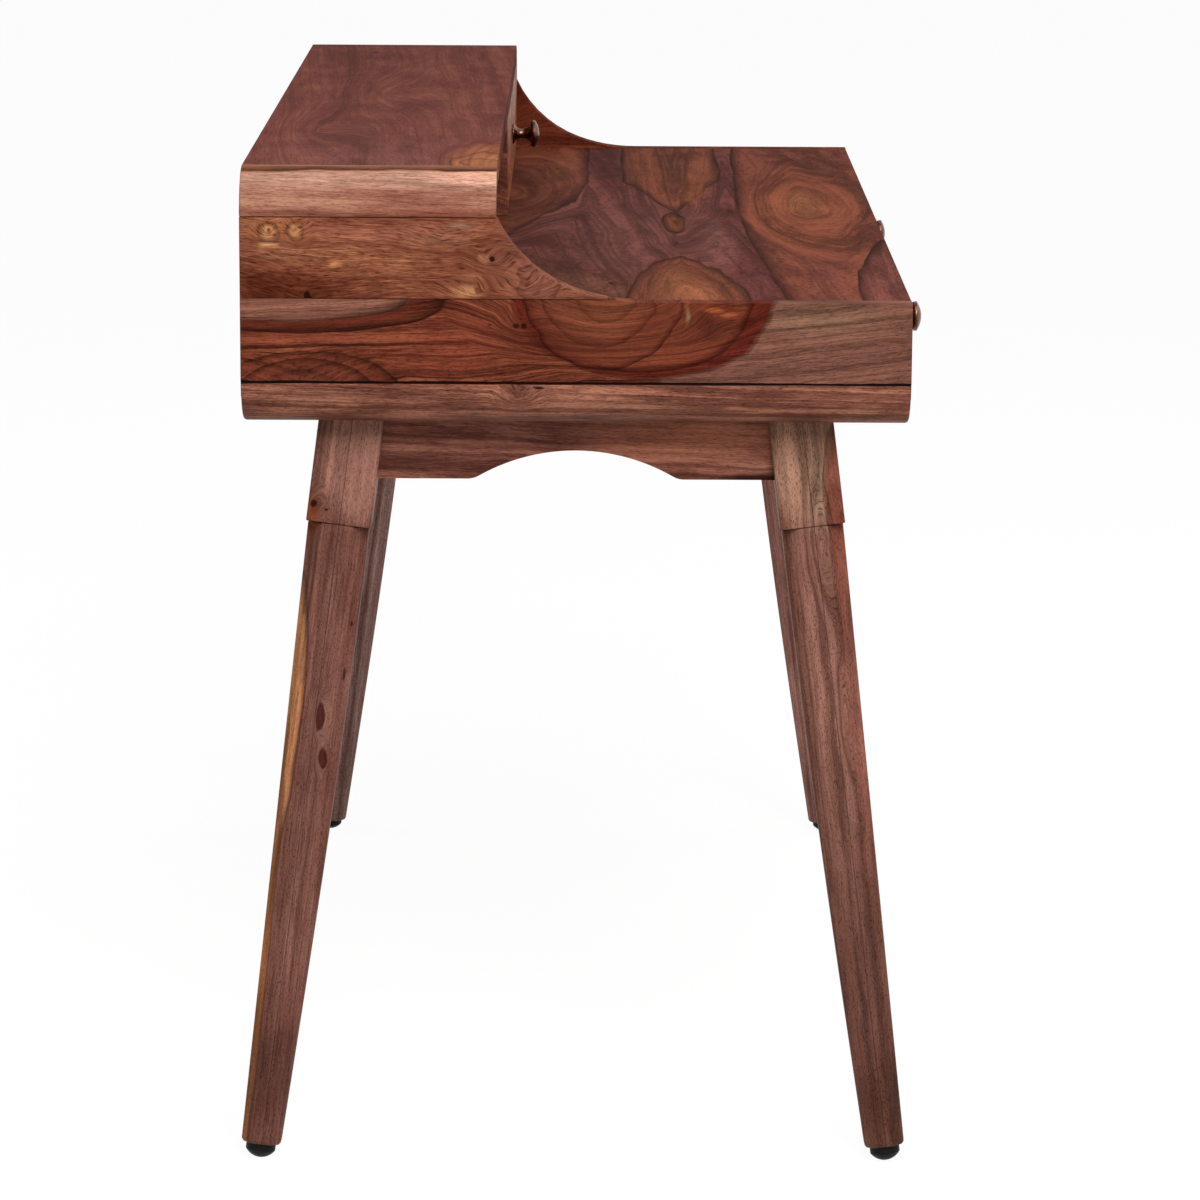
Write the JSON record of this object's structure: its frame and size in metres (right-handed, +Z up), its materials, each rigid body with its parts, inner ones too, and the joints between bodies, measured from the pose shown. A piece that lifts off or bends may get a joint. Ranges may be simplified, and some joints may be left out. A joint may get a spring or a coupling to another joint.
{
  "type": "office desk",
  "caption": "Wooden writing desk with a low hutch on its back edge, coved end boards, arched aprons, splayed block-top legs and wooden-boxed drawers with spool knobs.",
  "frame": {"origin": "on the floor, under the middle of the overall box, knobs included", "axes": "+X along the desk to the right-hand end seen from the front, -Y towards the sitter, +Z up"},
  "size_m": [1.2104, 0.6231, 0.9],
  "materials": {
    "lacquered_rosewood": "satin lacquer over figured reddish-brown rosewood",
    "inner_hardwood": "planed and thinly lacquered hardwood",
    "birch_ply": "sanded plywood",
    "beech_dowel": "raw fluted dowel",
    "copper_knob": "antique copper, lacquered",
    "zinc_steel": "zinc plated",
    "glide_plastic": "moulded, satin black"
  },
  "bodies": {
    "carcass": {"apron_back": "lacquered_rosewood", "apron_dowels": "beech_dowel", "apron_front": "lacquered_rosewood", "apron_left": "lacquered_rosewood", "apron_right": "lacquered_rosewood", "base_moulding_left": "lacquered_rosewood", "base_moulding_right": "lacquered_rosewood", "bottom_board": "lacquered_rosewood", "carcass_back": "lacquered_rosewood", "carcass_divider": "lacquered_rosewood", "corner_blocks": "inner_hardwood", "desktop": "lacquered_rosewood", "drawer_stops": "inner_hardwood", "end_board_lower_left": "lacquered_rosewood", "end_board_lower_right": "lacquered_rosewood", "end_board_upper_left": "lacquered_rosewood", "end_board_upper_right": "lacquered_rosewood", "frame_screws": "zinc_steel", "glide_nails": "zinc_steel", "glides": "glide_plastic", "hutch_back": "lacquered_rosewood", "hutch_divider": "lacquered_rosewood", "hutch_drawer_runners": "inner_hardwood", "hutch_moulding_left": "lacquered_rosewood", "hutch_moulding_right": "lacquered_rosewood", "hutch_top": "lacquered_rosewood", "left_drawer_runners": "inner_hardwood", "leg_back_left": "lacquered_rosewood", "leg_back_right": "lacquered_rosewood", "leg_bolts": "zinc_steel", "leg_front_left": "lacquered_rosewood", "leg_front_right": "lacquered_rosewood", "leg_nuts": "zinc_steel", "leg_washers": "zinc_steel", "panel_dowels": "beech_dowel", "right_drawer_runners": "inner_hardwood"},
    "left_drawer": {"left_drawer_back": "inner_hardwood", "left_drawer_bottom": "birch_ply", "left_drawer_front": "lacquered_rosewood", "left_drawer_knob": "copper_knob", "left_drawer_knob_screw": "zinc_steel", "left_drawer_side_left": "inner_hardwood", "left_drawer_side_right": "inner_hardwood"},
    "right_drawer": {"right_drawer_back": "inner_hardwood", "right_drawer_bottom": "birch_ply", "right_drawer_front": "lacquered_rosewood", "right_drawer_knob": "copper_knob", "right_drawer_knob_screw": "zinc_steel", "right_drawer_side_left": "inner_hardwood", "right_drawer_side_right": "inner_hardwood"},
    "hutch_drawer": {"hutch_drawer_back": "inner_hardwood", "hutch_drawer_bottom": "birch_ply", "hutch_drawer_front": "lacquered_rosewood", "hutch_drawer_knob": "copper_knob", "hutch_drawer_knob_screw": "zinc_steel", "hutch_drawer_side_left": "inner_hardwood", "hutch_drawer_side_right": "inner_hardwood"}
  },
  "joints": [
    {"name": "left_drawer_slide", "type": "slide", "parent": "carcass", "child": "left_drawer", "axis": [0, -1, 0], "range_m": [0, 0.3]},
    {"name": "right_drawer_slide", "type": "slide", "parent": "carcass", "child": "right_drawer", "axis": [0, -1, 0], "range_m": [0, 0.3]},
    {"name": "hutch_drawer_slide", "type": "slide", "parent": "carcass", "child": "hutch_drawer", "axis": [0, -1, 0], "range_m": [0, 0.12]}
  ]
}
